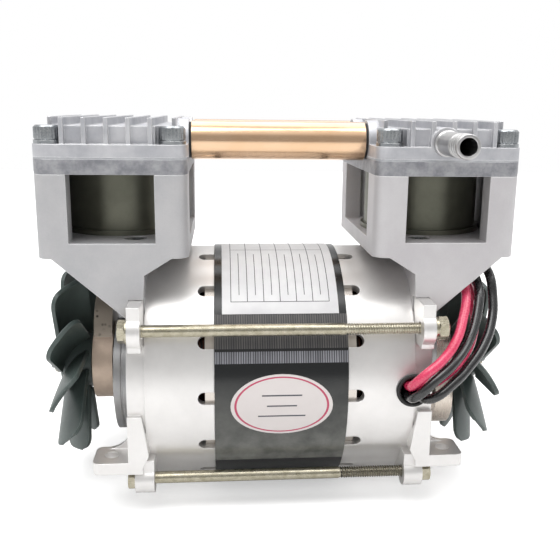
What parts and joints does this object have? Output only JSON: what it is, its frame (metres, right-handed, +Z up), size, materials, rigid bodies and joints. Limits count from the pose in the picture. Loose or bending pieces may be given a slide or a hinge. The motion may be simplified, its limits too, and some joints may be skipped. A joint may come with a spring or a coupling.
{
  "type": "oil-free vacuum pump",
  "caption": "Oil-free twin-cylinder vacuum pump: central motor, a fan, crank, cylinder and finned head at each end, tubes joining the heads, and hose barbs.",
  "frame": {"origin": "middle of the pump, on the plane of the flats below the lamination stack", "axes": "+X along the motor shaft to the cylinder with the front hose barb, +Y away from the front, +Z up along the cylinders"},
  "size_m": [0.1996, 0.166, 0.1583],
  "materials": {
    "stack": "black varnished laminations",
    "windings": "enamelled copper",
    "bell_casting": "satin die-cast",
    "left_case_casting": "blasted die-cast",
    "right_case_casting": "blasted die-cast",
    "valve_plate": "rough die-cast",
    "liner": "dark hard-anodised",
    "gold_tube": "gold anodised",
    "zinc_steel": "pale zinc plated",
    "bright_steel": "nickel plated",
    "ground_steel": "ground",
    "rotor_iron": "turned laminations",
    "barb_metal": "turned",
    "left_weight": "rough casting with turned hub",
    "right_weight": "turned and plated",
    "set_screw": "blackened",
    "rod_metal": "machined",
    "fan_plastic": "moulded dark slate",
    "cup_seal": "filled bearing plastic",
    "black_rubber": "moulded",
    "red_wire": "glossy insulation",
    "black_wire": "glossy insulation",
    "terminal_sleeve": "moulded sleeve",
    "label": "printed film"
  },
  "bodies": {
    "pump": {"stator_core": "stack", "stator_windings": "windings", "left_end_bell": "bell_casting", "right_end_bell": "bell_casting", "through_bolts": "zinc_steel", "through_bolt_nuts": "bright_steel", "through_bolt_washers": "bright_steel", "left_crankcase": "left_case_casting", "right_crankcase": "right_case_casting", "crankcase_screws": "bright_steel", "left_cylinder_liner": "liner", "right_cylinder_liner": "liner", "left_valve_plate": "valve_plate", "right_valve_plate": "valve_plate", "reed_valves": "bright_steel", "reed_stops": "bright_steel", "reed_rivets": "bright_steel", "head_gaskets": "black_rubber", "left_head": "left_case_casting", "right_head": "right_case_casting", "head_screws": "bright_steel", "head_screw_washers": "bright_steel", "front_transfer_tube": "gold_tube", "rear_transfer_tube": "gold_tube", "tube_seal_rings": "black_rubber", "inlet_barb": "barb_metal", "outlet_barb": "barb_metal", "main_bearing_outer_rings": "ground_steel", "main_bearing_shields": "black_rubber", "rating_label": "label", "inspection_label": "label", "cable_grommet": "black_rubber", "red_lead_a": "red_wire", "black_lead_a": "black_wire", "red_lead_b": "red_wire", "black_lead_b": "black_wire", "lead_terminals": "terminal_sleeve"},
    "rotor": {"shaft": "ground_steel", "rotor_core": "rotor_iron", "main_bearing_inner_rings": "ground_steel", "bearing_balls": "ground_steel", "crank_bearing_inner_rings": "ground_steel", "left_eccentric": "left_weight", "right_eccentric": "right_weight", "eccentric_set_screws": "set_screw", "left_fan": "fan_plastic", "right_fan": "fan_plastic", "fan_nuts": "bright_steel"},
    "left_rod": {"left_connecting_rod": "rod_metal", "left_crank_bearing_ring": "ground_steel"},
    "right_rod": {"right_connecting_rod": "rod_metal", "right_crank_bearing_ring": "ground_steel"},
    "left_piston_set": {"left_piston": "rod_metal", "left_cup_seal": "cup_seal", "left_seal_retainer": "bright_steel", "left_piston_screw": "bright_steel"},
    "right_piston_set": {"right_piston": "rod_metal", "right_cup_seal": "cup_seal", "right_seal_retainer": "bright_steel", "right_piston_screw": "bright_steel"}
  },
  "joints": [
    {"name": "shaft_spin", "type": "hinge", "parent": "pump", "child": "rotor", "pos_m": [0, 0, 0.0505], "axis": [1, 0, 0], "continuous": true},
    {"name": "left_rod_swing", "type": "hinge", "parent": "rotor", "child": "left_rod", "pos_m": [-0.066, 0, 0.0455], "axis": [1, 0, 0], "continuous": true},
    {"name": "right_rod_swing", "type": "hinge", "parent": "rotor", "child": "right_rod", "pos_m": [0.066, 0, 0.0555], "axis": [1, 0, 0], "continuous": true},
    {"name": "left_piston_slide", "type": "slide", "parent": "pump", "child": "left_piston_set", "axis": [0, 0, 1], "range_m": [0, 0.01]},
    {"name": "right_piston_slide", "type": "slide", "parent": "pump", "child": "right_piston_set", "axis": [0, 0, 1], "range_m": [-0.01, 0]}
  ],
  "couplings": [
    {"joint": "left_rod_swing", "follows": "shaft_spin", "ratio": -1},
    {"joint": "right_rod_swing", "follows": "shaft_spin", "ratio": -1}
  ]
}
